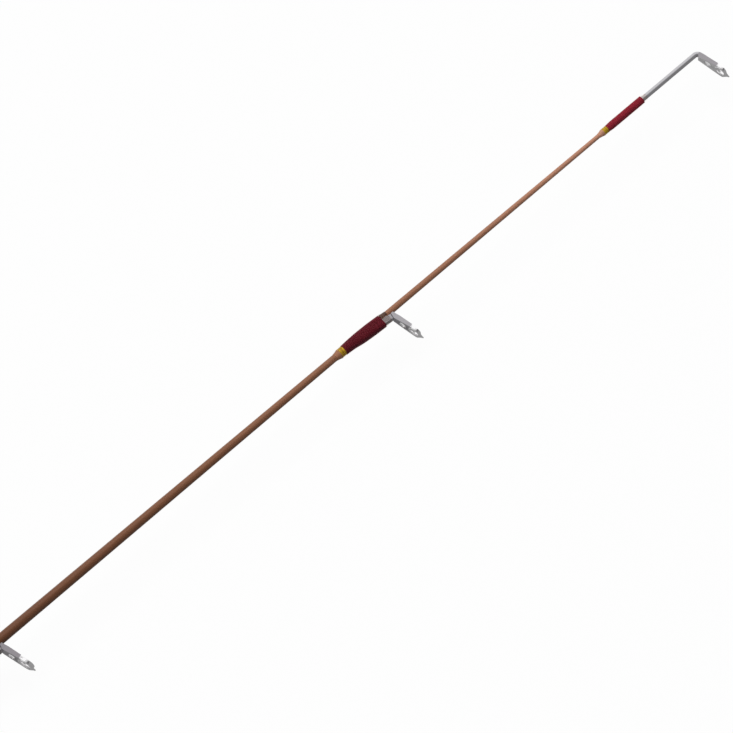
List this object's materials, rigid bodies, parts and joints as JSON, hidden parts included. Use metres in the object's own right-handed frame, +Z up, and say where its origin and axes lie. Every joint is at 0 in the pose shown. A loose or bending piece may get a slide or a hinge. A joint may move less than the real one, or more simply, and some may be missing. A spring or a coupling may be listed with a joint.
{
  "type": "ice fishing rod",
  "caption": "Short tapered ice fishing rod with cork grips, a screw-locked reel seat and thread-wrapped metal line guides.",
  "frame": {"origin": "centre of the butt cap's end face, on the rod's axis", "axes": "+X along the rod from the butt to the tip; +Z up as the rod lies on a floor on its grips and on the rim of its largest guide; the line guides point to -Y and a little down"},
  "size_m": [0.7652, 0.0329, 0.024],
  "materials": {
    "blank": "tinted gloss lacquer over the fibre",
    "cork": "sanded cork",
    "rubber_cap": "matte",
    "trim_metal": "anodised, satin",
    "seat_plastic": "satin moulded",
    "arbor": "foamed",
    "hood_metal": "brushed",
    "guide_metal": "polished plating",
    "ring_metal": "polished",
    "wrap_thread": "fine nylon thread",
    "gold_thread": "metallic thread",
    "clear_finish": "clear gloss epoxy"
  },
  "bodies": {
    "rod": {"blank": "blank", "rear_grip": "cork", "fore_grip": "cork", "butt_cap": "rubber_cap", "trim_ring": "trim_metal", "winding_check": "trim_metal", "seat_body": "seat_plastic", "seat_arbors": "arbor", "fixed_hood_shell": "hood_metal", "tip_tube": "guide_metal", "tip_frame": "guide_metal", "upper_guide_frame": "guide_metal", "middle_guide_frame": "guide_metal", "stripper_guide_frame": "guide_metal", "hook_keeper": "guide_metal", "tip_ring": "ring_metal", "upper_guide_ring": "ring_metal", "middle_guide_ring": "ring_metal", "stripper_guide_ring": "ring_metal", "tip_wrap": "wrap_thread", "upper_guide_wrap": "wrap_thread", "middle_guide_wrap": "wrap_thread", "stripper_guide_wrap": "wrap_thread", "keeper_wraps": "wrap_thread", "tip_trim": "gold_thread", "upper_guide_trim": "gold_thread", "middle_guide_trim": "gold_thread", "stripper_guide_trim": "gold_thread", "keeper_trims": "gold_thread", "tip_finish": "clear_finish", "upper_guide_finish": "clear_finish", "middle_guide_finish": "clear_finish", "stripper_guide_finish": "clear_finish", "keeper_finish": "clear_finish"},
    "hood": {"slide_hood": "seat_plastic", "slide_hood_shell": "hood_metal"},
    "nut": {"lock_nut": "seat_plastic", "nut_band": "trim_metal"}
  },
  "joints": [
    {"name": "hood_slide", "type": "slide", "parent": "rod", "child": "hood", "axis": [-1, 0, 0], "range_m": [-0.005, 0.0125]},
    {"name": "nut_turn", "type": "hinge", "parent": "hood", "child": "nut", "pos_m": [0.195, 0, 0], "axis": [-1, 0, 0], "range_deg": [-720, 1800]}
  ],
  "couplings": [
    {"joint": "hood_slide", "follows": "nut_turn", "m_per_rad": 0.00039788}
  ]
}
